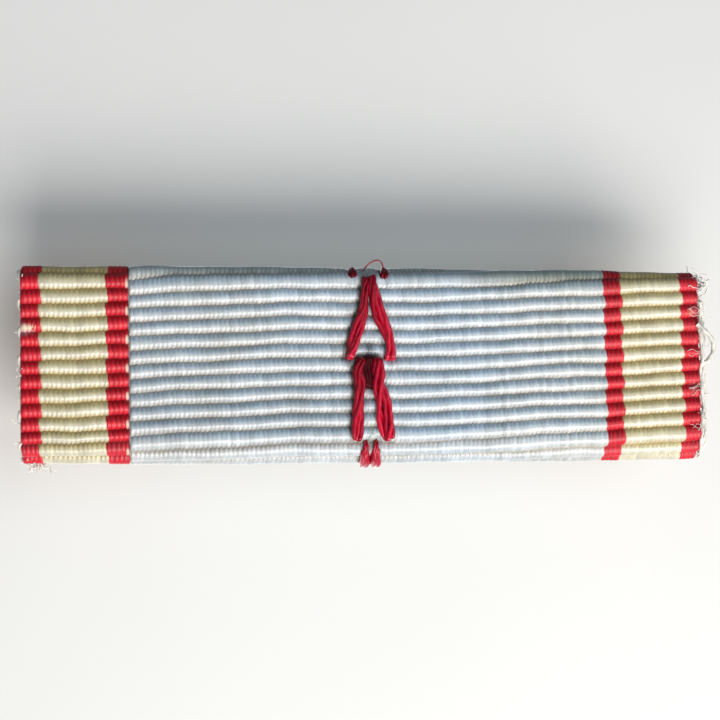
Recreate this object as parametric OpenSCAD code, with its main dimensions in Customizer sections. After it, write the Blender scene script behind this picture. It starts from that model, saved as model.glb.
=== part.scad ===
// Pin-back medal ribbon bar: a striped, ribbed ribbon wrapped over a padded brass
// carrier, with a stitched column of chevrons on the front and a hinged brooch pin
// with a turning safety catch on the back.
// Millimetres. X runs along the bar, -Y is the front, +Z is up as worn.
// The origin lies on the axis of the closed pin, at the middle of the bar.

/* [Ribbon] */
// Width of the ribbon, from selvage to selvage
ribbon_w = 34.9; // [30:0.1:40]
// Width of each red band
red_w = 0.95; // [0.6:0.05:1.4]
// Width of each cream band
cream_w = 3.3; // [2.5:0.1:4.2]
// Thickness of the woven web between two ribs
web_t = 0.25; // [0.18:0.01:0.32]
// Height of a weft rib above the web
rib_h = 0.2; // [0.1:0.01:0.26]
// Spacing of the weft ribs
rib_pitch = 0.72; // [0.5:0.02:1]
// Room left between the ribbon and what it is wrapped on
lay = 0.03; // [0.02:0.01:0.06]

/* [Carrier and padding] */
// Length of the brass carrier
carrier_w = 34.2; // [29:0.1:39]
// Height of the brass carrier
carrier_h = 9; // [8.4:0.1:12]
// Thickness of the brass sheet
sheet_t = 0.4; // [0.3:0.05:0.5]
// Inside radius of the sheet's bends
bend_in = 0.15; // [0.05:0.05:0.25]
// Spare depth of the channel that grips the tucked end of the ribbon
channel_slack = 0.07; // [0.04:0.01:0.15]
// Thickness of the felt padding
pad_t = 0.5; // [0.3:0.05:0.8]
// Radius of the padding's front edges
pad_r = 0.25; // [0.1:0.05:0.28]
// Length of the felt padding
pad_w = 34.6; // [29:0.1:39]

/* [Stitched chevrons] */
// Diameter of the embroidery thread
thread_d = 0.2; // [0.14:0.01:0.24]
// Number of threads laid side by side in a leg
threads = 3; // [2:1:4]
// Gap between two neighbouring threads
thread_gap = 0.02; // [0.01:0.01:0.05]
// Gap from the padding's top edge down to the upper chevron
chevron_top_gap = 0.3; // [0.3:0.05:0.8]
// Height above the middle of the bar where one chevron ends and the next begins
chevron_mid = 0.42; // [-0.5:0.02:0.6]
// Gap from the padding's bottom edge up to the lower chevron's feet
chevron_foot_gap = 0.57; // [0.5:0.01:1]
// Gap from the padding's bottom edge up to the top of the chevron below
chevron_next_gap = 0.42; // [0.3:0.01:0.6]
// Distance of the innermost thread from the middle line, at a chevron's top
chevron_top_x = 0.14; // [0.13:0.01:0.3]
// Distance of the innermost thread from the middle line, at a chevron's foot
chevron_foot_x = 0.66; // [0.4:0.02:1]
// Part of the edge's turn that the feet at the top edge cover, in degrees
feet_turn = 50; // [30:1:80]
// How deep the threads press into the ribs
thread_bite = 0.05; // [0.02:0.01:0.08]

/* [Brooch pin and hinge] */
// Diameter of the pin's wire
wire_d = 0.8; // [0.6:0.05:1]
// Room for cloth between the ribbon's back and the pin
cloth_gap = 1.2; // [1:0.1:2]
// Distance of the hinge axis from the carrier's end
hinge_inset = 3.9; // [3.6:0.1:6]
// How far the pin opens, in degrees
open_angle = 75; // [60:1:80]
// Diameter of the hinge rivet
rivet_d = 0.8; // [0.6:0.05:0.9]
// Running clearance of the rivet in the pin's eye, on the radius
run_clear = 0.04; // [0.02:0.01:0.08]
// Wall of the pin's eye
eye_wall = 0.56; // [0.4:0.02:0.7]
// How far the eye is thicker than the shoulder, on each side
eye_side = 0.05; // [0.02:0.01:0.1]
// Side clearance between the eye and each ear
ear_clear = 0.06; // [0.03:0.01:0.1]
// Thickness of each hinge ear
ear_t = 0.4; // [0.3:0.05:0.5]
// Wall of each hinge ear round the rivet
ear_wall = 0.65; // [0.5:0.05:0.9]
// Height of the rivet's domed heads
head_h = 0.28; // [0.2:0.02:0.4]
// How far the rivet's heads stand over its shank
head_rim = 0.35; // [0.2:0.05:0.5]
// How far the pin's shoulder stands over its wire
shoulder_step = 0.2; // [0.18:0.01:0.3]
// Length of the pin's shoulder beyond the eye
shoulder_len = 1; // [0.6:0.1:2]
// Thickness of the heel that stops the pin
heel_t = 0.8; // [0.6:0.05:1]
// Gap left under the heel when the pin is fully open
heel_gap = 0.06; // [0.04:0.01:0.1]
// Length of the pin's taper
taper_len = 5.6; // [5:0.1:7]
// Diameter of the pin's point
point_d = 0.16; // [0.1:0.02:0.24]
// How far the point reaches past the catch
point_over = 1.6; // [1:0.1:2.2]

/* [Soldered bases] */
// Length of the hinge's and the catch's base
base_l = 4.2; // [3.6:0.1:4.8]
// Height of the hinge's and the catch's base
base_w = 3.4; // [3:0.1:3.8]
// Thickness of the bases
base_t = 0.45; // [0.3:0.05:0.6]
// Corner radius of the bases
base_r = 0.6; // [0.3:0.05:0.9]
// Room between a base and the folds of the ribbon
fold_clear = 0.15; // [0.1:0.05:0.3]

/* [Safety catch] */
// Distance of the catch's middle from the carrier's end
catch_inset = 4.5; // [4:0.1:6]
// Width of the catch's ring
ring_w = 1.5; // [1.2:0.1:2]
// Wall of the catch's ring
ring_wall = 0.45; // [0.35:0.05:0.6]
// Width of the ring's neck
neck_w = 1.6; // [1.2:0.1:2]
// Wall of the lock's hub
hub_wall = 0.5; // [0.4:0.05:0.6]
// Room round the pin in the lock's bore
bore_clear = 0.1; // [0.08:0.01:0.2]
// Room beside the pin in the slot that lets it in and out
slot_clear = 0.06; // [0.03:0.01:0.07]
// Running clearance of the lock in the ring
lock_clear = 0.05; // [0.03:0.01:0.08]
// Thickness of the lock's flanges
flange_t = 0.35; // [0.25:0.05:0.5]
// How far the flanges reach past the ring's inside
flange_lip = 0.3; // [0.2:0.05:0.4]
// Turn of the lock from open to shut, in degrees
lock_turn = 90; // [85:1:92]
// Thickness of the thumb tab
tab_t = 0.45; // [0.35:0.05:0.5]
// Gap between the thumb tab and the ring's ends at either stop
tab_clear = 0.08; // [0.05:0.01:0.12]
// Reach of the thumb tab beyond the ring
tab_reach = 0.7; // [0.5:0.1:1]

/* [Hidden] */
$fn = 48;

brass = "#b8a05a";
steel = "#c4c2bc";
felt_cream = "#ddd6c4";
ribbon_blue = "#aebfca";
ribbon_cream = "#cfc18d";
ribbon_red = "#b3202d";
thread_red = "#b0122a";

// Thickness of the wrapped ribbon, with its ribs and the room under it
wrap_t = lay + web_t + rib_h;
wire_r = wire_d / 2;
rivet_r = rivet_d / 2;
thread_r = thread_d / 2;
channel = wrap_t + channel_slack;
bend_out = sheet_t + bend_in;
lip_r = sheet_t / 2;

// Planes across the bar, from the back to the front
lip_back = -(wire_r + cloth_gap + wrap_t);
plate_back = lip_back - sheet_t - channel;
plate_front = plate_back - sheet_t;
pad_front = plate_front - pad_t;
rib_front = pad_front - wrap_t;
base_top = plate_back + base_t;

// Heights above the middle of the bar
half_h = carrier_h / 2;
lip_edge = base_w / 2 + fold_clear + wrap_t;
tuck_top = half_h - bend_out - sheet_t;

// Stretches of the wrap from the middle of the front to the tucked end, as [length, bend radius]
quarter = PI / 2;
wrap_legs = [
    [half_h - pad_r, 0],
    [pad_r * quarter, pad_r],
    [lip_back - pad_front - pad_r - bend_out, 0],
    [bend_out * quarter, bend_out],
    [half_h - bend_out - lip_edge - lip_r, 0],
    [lip_r * 2 * quarter, lip_r],
    [tuck_top - lip_edge - lip_r, 0],
];
wrap_len = [for (leg = wrap_legs) 1] * [for (leg = wrap_legs) leg[0]];
steps_per_rib = 6;
wrap_step = rib_pitch / steps_per_rib;
wrap_steps = floor(wrap_len / wrap_step);

// Edges of the colour bands along X, from left to right
band_edges = [
    -ribbon_w / 2,
    -ribbon_w / 2 + red_w,
    -ribbon_w / 2 + red_w + cream_w,
    -ribbon_w / 2 + 2 * red_w + cream_w,
    ribbon_w / 2 - 2 * red_w - cream_w,
    ribbon_w / 2 - red_w - cream_w,
    ribbon_w / 2 - red_w,
    ribbon_w / 2,
];

// Threads lie on the ribs and turn down into the web at their ends
thread_y = rib_front - thread_r + thread_bite;
thread_bend = 1.5 * thread_r;
thread_tail = rib_h + web_t / 2 - thread_bite;
thread_step = thread_d + thread_gap;
corner_mid = half_h - pad_r;
corner_bend = pad_r + wrap_t + thread_r - thread_bite;
edge_y = pad_front + pad_r;

hinge_x = -carrier_w / 2 + hinge_inset;
eye_bore = rivet_r + run_clear;
eye_r = eye_bore + eye_wall;
shoulder_r = wire_r + shoulder_step;
eye_t = 2 * (shoulder_r + eye_side);
ear_r = rivet_r + ear_wall;
head_r = rivet_r + head_rim;
ear_inner = eye_t / 2 + ear_clear;
ear_outer = ear_inner + ear_t;
stem_from = hinge_x + eye_r + shoulder_len;
// Length that brings the heel's corner down to the base when the pin is open
heel_len = (-base_top - heel_gap - heel_t / 2 * cos(open_angle)) / sin(open_angle);

catch_x = carrier_w / 2 - catch_inset;
bore_r = wire_r + bore_clear;
slot_w = wire_d + 2 * slot_clear;
hub_r = bore_r + hub_wall;
ring_in = hub_r + lock_clear;
ring_out = ring_in + ring_wall;
lock_half = ring_w / 2 + lock_clear + flange_t;
flange_r = ring_in + flange_lip;
tab_angle = lock_turn / 2;
tab_root = (bore_r + hub_r) / 2;
tab_end = ring_out + tab_reach;
// Half of the ring's opening, whose ends stop the thumb tab
ring_gap = tab_angle + asin((tab_t / 2 + tab_clear) / ring_in);
point_x = catch_x + lock_half + point_over;
taper_from = point_x - taper_len;

// Draws a (y, z) outline along X from x0 to x1
module along_x(x0, x1) {
    translate([x0, 0, 0]) rotate([90, 0, 90]) linear_extrude(x1 - x0) children();
}

// Draws an (x, z) outline along Y from y0 to y1
module along_y(y0, y1) {
    translate([0, y1, 0]) rotate([90, 0, 0]) linear_extrude(y1 - y0) children();
}

// Draws children as given and again turned over the middle height
module both_halves() {
    children();
    mirror([0, 1]) children();
}

module quarter_ring(r_out, r_in) {
    intersection() {
        difference() {
            circle(r_out);
            circle(r_in);
        }
        square(r_out);
    }
}

// Place and heading after s along the wrap, as [[y, z], degrees turned]
function travel(s, i = 0, at = [pad_front, 0], turn = 0) =
    let (
        leg = wrap_legs[i],
        bend = leg[1],
        go = min(s, leg[0]),
        swing = bend == 0 ? 0 : go / bend * 180 / PI,
        next = bend == 0
            ? at + go * [sin(turn), cos(turn)]
            : at + bend * [cos(turn) - cos(turn + swing), sin(turn + swing) - sin(turn)]
    )
    s <= leg[0] || i == len(wrap_legs) - 1
        ? [next, turn + swing]
        : travel(s - leg[0], i + 1, next, turn + swing);

// Point at signed distance s along the wrap, raised off the surface
function wrap_point(s, raised) =
    let (
        spot = travel(abs(s)),
        at = spot[0] + raised * [-cos(spot[1]), sin(spot[1])]
    )
    [at[0], s < 0 ? -at[1] : at[1]];

// Height of the weft rib at distance s
function rib(s) = rib_h * abs(cos(180 * s / rib_pitch));

module ribbon_section() {
    outside = [for (k = [-wrap_steps:wrap_steps])
        wrap_point(k * wrap_step, lay + web_t + rib(k * wrap_step))];
    inside = [for (k = [wrap_steps:-1:-wrap_steps]) wrap_point(k * wrap_step, lay)];
    polygon(concat(outside, inside));
}

// Colour band number i of the ribbon, counted from the left
module ribbon_band(i) {
    along_x(band_edges[i], band_edges[i + 1]) ribbon_section();
}

// Brass sheet with both long edges folded back into channels for the ribbon's ends
module carrier_plate() {
    color(brass) along_x(-carrier_w / 2, carrier_w / 2) {
        translate([plate_front, bend_out - half_h])
            square([sheet_t, carrier_h - 2 * bend_out]);
        both_halves() {
            translate([plate_front + bend_out, half_h - bend_out])
                mirror([1, 0]) quarter_ring(bend_out, bend_in);
            translate([plate_front + bend_out, half_h - sheet_t])
                square([lip_back - plate_front - 2 * bend_out, sheet_t]);
            translate([lip_back - bend_out, half_h - bend_out])
                quarter_ring(bend_out, bend_in);
            translate([lip_back - sheet_t, lip_edge + lip_r])
                square([sheet_t, half_h - bend_out - lip_edge - lip_r]);
            translate([lip_back - lip_r, lip_edge + lip_r]) intersection() {
                circle(lip_r);
                translate([-lip_r, -lip_r]) square([sheet_t, lip_r]);
            }
        }
    }
}

module padding_felt() {
    color(felt_cream) along_x(-pad_w / 2, pad_w / 2) {
        translate([pad_front + pad_r, -half_h]) square([pad_t - pad_r, carrier_h]);
        translate([pad_front, pad_r - half_h]) square([pad_r, carrier_h - 2 * pad_r]);
        both_halves() translate([pad_front + pad_r, half_h - pad_r])
            mirror([1, 0]) quarter_ring(pad_r, 0);
    }
}

// End of a thread that comes up along Z: it turns to +Y and goes down into the cloth at z = 0
module thread_end() {
    translate([0, thread_bend, -thread_bend])
        rotate([90, 0, -90]) rotate_extrude(angle = 90)
            translate([thread_bend, 0]) circle(thread_r);
    translate([0, thread_bend, 0])
        rotate([-90, 0, 0]) cylinder(r = thread_r, h = thread_tail);
}

// One thread laid from z = 0 up to z = length
module stitch(length) {
    translate([0, 0, thread_bend]) cylinder(r = thread_r, h = length - 2 * thread_bend);
    translate([0, 0, length]) thread_end();
    mirror([0, 0, 1]) thread_end();
}

// Two legs of parallel threads that come together at the top
module chevron(top, foot) {
    height = top - foot;
    lean = atan2(chevron_foot_x - chevron_top_x, height);
    color(thread_red) for (side = [0, 1], i = [0:threads - 1]) mirror([side, 0, 0])
        translate([chevron_foot_x + i * thread_step, thread_y, foot])
            rotate([0, -lean, 0]) stitch(height / cos(lean));
}

module chevron_upper() {
    chevron(half_h - chevron_top_gap, chevron_mid);
}

module chevron_lower() {
    chevron(chevron_mid, chevron_foot_gap - half_h);
}

// The stretch of a thread that turns over the bar's upper front edge and runs to the back
module edge_run(turn) {
    top = corner_mid + corner_bend;
    translate([0, edge_y, corner_mid]) rotate([90, 0, -90]) rotate([0, 0, 90 - turn])
        rotate_extrude(angle = turn) translate([corner_bend, 0]) circle(thread_r);
    translate([0, edge_y, top]) rotate([-90, 0, 0])
        cylinder(r = thread_r, h = plate_back - thread_bend - edge_y);
    translate([0, plate_back, top]) rotate([-90, 0, 0]) thread_end();
}

// Feet of the chevron above, which come over the top edge and end on the turn
module chevron_ends_top() {
    color(thread_red) for (side = [-1, 1], i = [0:threads - 2])
        translate([side * (chevron_foot_x + i * thread_step), 0, 0]) {
            edge_run(feet_turn);
            translate([0, edge_y, corner_mid]) rotate([90, 0, -90]) rotate([0, 0, 90 - feet_turn])
                translate([corner_bend, 0, 0]) rotate([90, -90, 0]) {
                    cylinder(r = thread_r, h = thread_r);
                    translate([0, 0, thread_r + thread_bend]) thread_end();
                }
        }
}

// Top of the chevron below, which goes on under the bottom edge
module chevron_ends_bottom() {
    from = half_h - chevron_next_gap;
    color(thread_red) for (side = [-1, 1], i = [0:threads - 2])
        translate([side * (chevron_top_x + i * thread_step), 0, 0]) mirror([0, 0, 1]) {
            edge_run(90);
            translate([0, thread_y, from + thread_bend])
                cylinder(r = thread_r, h = corner_mid - from - thread_bend);
            translate([0, thread_y, from]) mirror([0, 0, 1]) thread_end();
        }
}

// Rounded base plate soldered to the carrier's back
module base_plate() {
    along_y(plate_back, base_top) {
        square([base_l - 2 * base_r, base_w], center = true);
        for (side = [0, 1]) mirror([side, 0]) {
            translate([base_l / 2 - base_r, base_r - base_w / 2])
                square([base_r, base_w - 2 * base_r]);
            both_halves() translate([base_l / 2 - base_r, base_w / 2 - base_r])
                quarter_ring(base_r, 0);
        }
    }
}

module hinge_bracket() {
    color(brass) translate([hinge_x, 0, 0]) {
        base_plate();
        for (side = [0, 1]) mirror([0, 0, side]) translate([0, 0, ear_inner])
            linear_extrude(ear_t) difference() {
                union() {
                    circle(ear_r);
                    translate([-ear_r, base_top]) square([2 * ear_r, -base_top]);
                }
                circle(rivet_r);
            }
    }
}

// Rivet through both ears, with a domed head on each side
module hinge_rivet() {
    dome_r = (head_r * head_r + head_h * head_h) / (2 * head_h);
    color(steel) translate([hinge_x, 0, 0]) {
        cylinder(r = rivet_r, h = 2 * ear_outer, center = true);
        for (side = [0, 1]) mirror([0, 0, side]) translate([0, 0, ear_outer])
            intersection() {
                translate([0, 0, head_h - dome_r]) sphere(dome_r);
                cylinder(r = head_r, h = head_h);
            }
    }
}

// Pin with its eye, heel and shoulder at the hinge and a long taper to the point
module pin_wire() {
    color(steel) difference() {
        union() {
            translate([hinge_x, 0, 0]) {
                cylinder(r = eye_r, h = eye_t, center = true);
                translate([-heel_len, -heel_t / 2, -eye_t / 2])
                    cube([heel_len, heel_t, eye_t]);
                rotate([0, 90, 0]) cylinder(r = shoulder_r, h = stem_from - hinge_x);
            }
            translate([stem_from, 0, 0]) rotate([0, 90, 0])
                cylinder(r = wire_r, h = taper_from - stem_from);
            translate([taper_from, 0, 0]) rotate([0, 90, 0])
                cylinder(r1 = wire_r, r2 = point_d / 2, h = taper_len);
        }
        translate([hinge_x, 0, 0])
            cylinder(r = eye_bore, h = 2 * eye_t, center = true);
    }
}

// Ring on a neck, open to the back, that the lock turns in
module catch_housing() {
    color(brass) translate([catch_x, 0, 0]) {
        base_plate();
        along_x(-ring_w / 2, ring_w / 2) difference() {
            union() {
                circle(ring_out);
                translate([base_top, -neck_w / 2]) square([-base_top, neck_w]);
            }
            circle(ring_in);
            sector(2 * ring_out, ring_gap);
        }
    }
}

// Wedge round the +Y direction
module sector(reach, half_angle) {
    side = reach * [cos(half_angle), sin(half_angle)];
    polygon([[0, 0], [side[0], -side[1]], [reach, -side[1]], [reach, side[1]], side]);
}

// Slotted hub with a flange on each side of the ring and a thumb tab, standing open
module catch_lock() {
    color(steel) translate([catch_x, 0, 0]) difference() {
        union() {
            along_x(-lock_half, lock_half) circle(hub_r);
            for (side = [0, 1]) mirror([side, 0, 0])
                along_x(ring_w / 2 + lock_clear, lock_half) circle(flange_r);
            along_x(-ring_w / 2, ring_w / 2) rotate(tab_angle)
                translate([tab_root, -tab_t / 2]) square([tab_end - tab_root, tab_t]);
        }
        along_x(-2 * lock_half, 2 * lock_half) {
            circle(bore_r);
            translate([0, -slot_w / 2]) square([2 * ring_out, slot_w]);
        }
    }
}

carrier_plate();
padding_felt();
color(ribbon_red) ribbon_band(0);  // ribbon_red_edge_left
color(ribbon_cream) ribbon_band(1);  // ribbon_cream_band_left
color(ribbon_red) ribbon_band(2);  // ribbon_red_inner_left
color(ribbon_blue) ribbon_band(3);  // ribbon_blue_field
color(ribbon_red) ribbon_band(4);  // ribbon_red_inner_right
color(ribbon_cream) ribbon_band(5);  // ribbon_cream_band_right
color(ribbon_red) ribbon_band(6);  // ribbon_red_edge_right
chevron_upper();
chevron_lower();
chevron_ends_top();
chevron_ends_bottom();
hinge_bracket();
hinge_rivet();
pin_wire();
catch_housing();
catch_lock();
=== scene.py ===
import math
from types import SimpleNamespace

import bpy
import numpy as np
from mathutils import Matrix, Vector


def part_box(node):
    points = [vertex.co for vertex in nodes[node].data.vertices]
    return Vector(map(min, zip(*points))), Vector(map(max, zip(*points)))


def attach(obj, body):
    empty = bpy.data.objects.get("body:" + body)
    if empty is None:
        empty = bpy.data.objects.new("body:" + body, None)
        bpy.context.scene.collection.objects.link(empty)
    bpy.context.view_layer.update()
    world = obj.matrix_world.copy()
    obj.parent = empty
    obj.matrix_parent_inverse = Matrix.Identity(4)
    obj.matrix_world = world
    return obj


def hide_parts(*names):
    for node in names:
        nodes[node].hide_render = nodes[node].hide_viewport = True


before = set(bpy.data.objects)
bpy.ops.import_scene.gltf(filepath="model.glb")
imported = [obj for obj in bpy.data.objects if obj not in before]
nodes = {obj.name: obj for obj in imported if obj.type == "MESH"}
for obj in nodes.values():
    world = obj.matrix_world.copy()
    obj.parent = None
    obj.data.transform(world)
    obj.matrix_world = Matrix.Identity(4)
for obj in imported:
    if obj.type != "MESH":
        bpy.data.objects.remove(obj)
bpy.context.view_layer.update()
scene = bpy.context.scene
mm = 0.001  # lengths below are millimetres, Blender's are metres
print("frame loaded,", len(nodes), "CAD nodes")


def nodeBox(name):
    low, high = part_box(name)
    return np.array(low) / mm, np.array(high) / mm


# shader sums

class Wire:  # a socket that does sums
    def __init__(self, finish, socket):
        self.finish = finish
        self.socket = socket

    def sum(self, operation, first, second):
        return self.finish.add("ShaderNodeMath", {"operation": operation}, {0: first, 1: second})

    def __add__(self, other):
        return self.sum("ADD", self, other)

    def __radd__(self, other):
        return self.sum("ADD", other, self)

    def __sub__(self, other):
        return self.sum("SUBTRACT", self, other)

    def __rsub__(self, other):
        return self.sum("SUBTRACT", other, self)

    def __mul__(self, other):
        return self.sum("MULTIPLY", self, other)

    def __rmul__(self, other):
        return self.sum("MULTIPLY", other, self)


class Finish:  # one material and its nodes
    kind = "materials"
    shaderName = "Principled BSDF"

    def __init__(self, name, **constants):
        self.material = getattr(bpy.data, self.kind).new(name)
        self.material.use_nodes = True
        self.tree = self.material.node_tree
        self.shader = self.tree.nodes[self.shaderName]
        self.surface(**constants)

    def add(self, kind, settings=None, inputs=None, output=0):
        node = self.tree.nodes.new(kind)
        for name, value in (settings or {}).items():
            if name == "stops":
                self.fillRamp(node.color_ramp, value)
            else:
                setattr(node, name, value)
        for socket, value in (inputs or {}).items():
            self.feed(node.inputs[socket], value)
        return Wire(self, node.outputs[output])

    def feed(self, socket, value):
        if isinstance(value, Wire):
            self.tree.links.new(value.socket, socket)
        else:
            socket.default_value = value

    def fillRamp(self, ramp, stops):
        while len(ramp.elements) < len(stops):
            ramp.elements.new(1.0)
        for element, (place, colour) in zip(ramp.elements, stops):
            element.position = place
            element.color = (*colour, 1.0)

    def surface(self, **values):  # constants and wires, by the shader's socket names
        for socket, value in values.items():
            self.feed(self.shader.inputs[socket.replace("_", " ")], value)
        return self.material

    def place(self):
        return self.add("ShaderNodeTexCoord", output="Object")

    def stretched(self, vector, scale):
        return self.add("ShaderNodeVectorMath", {"operation": "MULTIPLY"}, {0: vector, 1: scale})

    def noise(self, vector, scale, detail=3.0, roughness=0.55):  # the scale is to a metre
        sockets = {"Vector": vector, "Scale": scale, "Detail": detail, "Roughness": roughness}
        return self.add("ShaderNodeTexNoise", {}, sockets)

    def ramp(self, value, stops):
        return self.add("ShaderNodeValToRGB", {"stops": stops}, {"Fac": value})

    def grey(self, value, low, high):  # a value spread from low..high to 0..1
        return self.add("ShaderNodeMapRange", {}, {"Value": value, "From Min": low, "From Max": high})

    def mix(self, share, first, second, blend="MIX"):
        settings = {"data_type": "RGBA", "blend_type": blend}
        return self.add("ShaderNodeMix", settings, {0: share, 6: first, 7: second}, 2)

    def bump(self, height, strength, depth):
        sockets = {"Height": height, "Strength": strength, "Distance": depth * mm}
        return self.add("ShaderNodeBump", {}, sockets)

    def attribute(self, name, output="Fac"):
        return self.add("ShaderNodeAttribute", {"attribute_name": name}, {}, output)


class Room(Finish):  # the world's nodes
    kind = "worlds"
    shaderName = "Background"


def rgb(red, green, blue):
    return (red, green, blue, 1.0)


# mesh helpers, points in millimetres

def makePiece(name, points, quads, tris, finish, uv=None, values=None, second=None):
    mesh = bpy.data.meshes.new(name)
    quads = np.asarray(quads, np.int32).reshape(-1, 4)
    tris = np.asarray(tris, np.int32).reshape(-1, 3)
    corners = np.concatenate([quads.ravel(), tris.ravel()])
    sizes = np.concatenate([np.full(len(quads), 4), np.full(len(tris), 3)])
    starts = np.concatenate([[0], np.cumsum(sizes)[:-1]]).astype(np.int32)
    mesh.vertices.add(len(points))
    mesh.vertices.foreach_set("co", (np.asarray(points, np.float64) * mm).astype(np.float32).ravel())
    mesh.loops.add(len(corners))
    mesh.loops.foreach_set("vertex_index", corners)
    mesh.polygons.add(len(sizes))
    mesh.polygons.foreach_set("loop_start", starts)
    mesh.polygons.foreach_set("use_smooth", np.ones(len(sizes), bool))
    mesh.update(calc_edges=True)
    if uv is not None:
        layer = mesh.uv_layers.new(name="OFBake")
        layer.uv.foreach_set("vector", np.asarray(uv, np.float32)[corners].ravel())
    for label, data in (values or {}).items():
        kind, field = ("FLOAT", "value") if np.ndim(data) == 1 else ("FLOAT_COLOR", "color")
        store = mesh.attributes.new(label, kind, "POINT")
        store.data.foreach_set(field, np.asarray(data, np.float32).ravel())
    piece = bpy.data.objects.new(name, mesh)
    scene.collection.objects.link(piece)
    mesh.materials.append(finish)
    if second is not None:  # another finish, on the faces whose first points are marked
        mesh.materials.append(second[0])
        mesh.polygons.foreach_set("material_index", np.asarray(second[1], np.int32)[corners[starts]])
    return piece


def gridQuads(rows, columns, start=0, closed=False):
    r = np.arange(rows - 1)[:, None]
    c = np.arange(columns if closed else columns - 1)[None, :]
    after = (c + 1) % columns
    quads = [r * columns + c, r * columns + after, (r + 1) * columns + after, (r + 1) * columns + c]
    return start + np.stack([np.broadcast_to(q, (rows - 1, c.shape[1])) for q in quads], -1).reshape(-1, 4)


def fan(fine, coarse, flip):  # triangles between a fine row and a coarse one that shares its ends
    ratio = (len(fine) - 1) // (len(coarse) - 1)
    half = ratio // 2
    tris = []
    for n in range(len(coarse) - 1):
        row = fine[n * ratio:(n + 1) * ratio + 1]
        near, far = coarse[n], coarse[n + 1]
        tris += [(row[i], row[i + 1], near if i < half else far) for i in range(ratio)]
        tris.append((row[half], far, near))
    tris = np.array(tris)
    return tris[:, ::-1] if flip else tris


def smoothPath(points, count):  # a curve through given points
    points = np.asarray(points, float)
    padded = np.vstack([2 * points[0] - points[1], points, 2 * points[-1] - points[-2]])
    t = np.linspace(0, len(points) - 1, count)
    i = np.minimum(t.astype(int), len(points) - 2)
    f = (t - i)[:, None]
    a, b, c, d = (padded[i + n] for n in range(4))
    bent = 2 * b + (c - a) * f + (2 * a - 5 * b + 4 * c - d) * f ** 2
    return 0.5 * (bent + (3 * b - a - 3 * c + d) * f ** 3)


def distances(path):  # of a path's points, along it
    return np.concatenate([[0], np.cumsum(np.linalg.norm(np.diff(path, axis=0), axis=1))])


offStrands = (0.31, -0.9, 0.27)  # a direction that no strand runs in
strandMap = {"side": 0.05, "end": 0.01, "grain": 7.3}  # margins in the UV map, and grain between strands


def tube(path, radius, sides=12, ply=0.0, turns=0.0):  # a strand, with ply grooves that wind along it
    path = np.asarray(path, float)
    radius = np.broadcast_to(radius, len(path))
    tangent = np.gradient(path, axis=0)
    tangent /= np.linalg.norm(tangent, axis=1)[:, None] + 1e-12
    side = np.cross(tangent[0], offStrands)
    side /= np.linalg.norm(side)
    sideRow = []
    for heading in tangent:
        side = side - heading * np.dot(side, heading)
        side = side / np.linalg.norm(side)
        sideRow.append(side)
    sideRow = np.array(sideRow)
    upRow = np.cross(tangent, sideRow)
    along = distances(path)
    angle = np.arange(sides) / sides * 2 * np.pi
    groove = 1 + ply * np.cos(2 * (angle[None, :] - turns * along[:, None] * np.pi))
    reach = radius[:, None] * groove
    ring = np.cos(angle)[:, None] * sideRow[:, None, :] + np.sin(angle)[:, None] * upRow[:, None, :]
    points = path[:, None, :] + reach[..., None] * ring
    count = len(path)
    base = (count - 1) * sides
    first = [(n, (n + 1) % sides, count * sides) for n in range(sides)]
    last = [(base + (n + 1) % sides, base + n, count * sides + 1) for n in range(sides)]
    return {
        "points": np.vstack([points.reshape(-1, 3), path[[0, -1]]]),
        "quads": gridQuads(count, sides, 0, True)[:, ::-1],
        "tris": np.array(first + last)[:, ::-1],
        "along": np.concatenate([np.repeat(along, sides), [0, along[-1]]]),
        "around": np.concatenate([np.tile(np.arange(sides) / sides, count), [0, 0]]),
    }


def joinTubes(name, tubes, finish, shades=None):  # several strands as one piece
    parts = {key: [] for key in ("points", "quads", "tris", "uv", "along", "around", "shade")}
    side, end = strandMap["side"], strandMap["end"]
    start = 0
    for n, strand in enumerate(tubes):
        wide = side + (1 - 2 * side) * np.abs(2 * strand["around"] - 1)
        tall = end + (1 - 2 * end) * strand["along"] / max(strand["along"].max(), 1e-9)
        parts["points"].append(strand["points"])
        parts["quads"].append(strand["quads"] + start)
        parts["tris"].append(strand["tris"] + start)
        parts["uv"].append(np.stack([(n + wide) / len(tubes), tall], -1))
        parts["along"].append(strand["along"] + n * strandMap["grain"])
        parts["around"].append(strand["around"])
        parts["shade"].append(np.broadcast_to(shades[n] if shades else 1.0, len(strand["points"])))
        start += len(strand["points"])
    whole = {key: np.concatenate(part) for key, part in parts.items()}
    values = {key: whole[key] for key in ("along", "around", "shade")}
    return makePiece(name, whole["points"], whole["quads"], whole["tris"], finish, whole["uv"], values)


def dress(piece, slotName, *stoodFor):
    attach(piece, "bar")
    if stoodFor:
        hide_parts(*stoodFor)
    return piece


# sums on fields of numbers

def eased(share):
    return share * share * (3 - 2 * share)


def ramped(value, start, over):  # 0 up to the start, 1 from so far beyond it
    return np.clip((value - start) / over, 0, 1)


def bell(value, wide):
    return np.exp(-(value / wide) ** 2)


def ripple(waves, x, n=1, phase=0.0):  # sines, by their size, their rate along x and their shift with n
    return sum(size * np.sin(x * rate + n * shift + phase) for size, rate, shift in waves)


def lookUp(points, x):  # a value between listed (x, value) points
    return np.interp(x, *np.array(points).T)


def tinted(colours, share, tint):
    return colours * (1 + share[..., None] * (np.asarray(tint) - 1))


# the camera stands where the photograph was taken, over the bar's front and a little to its left

view = {
    "aim": (-0.57, -4.2, 0.24),
    "distance": 72.0,
    "azimuth": -7.9,
    "elevation": -2.9,
    "roll": -0.31,
    "lens": 70.9,
    "sensor": 36.0,
    "nearest": 1.0,
}


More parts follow.
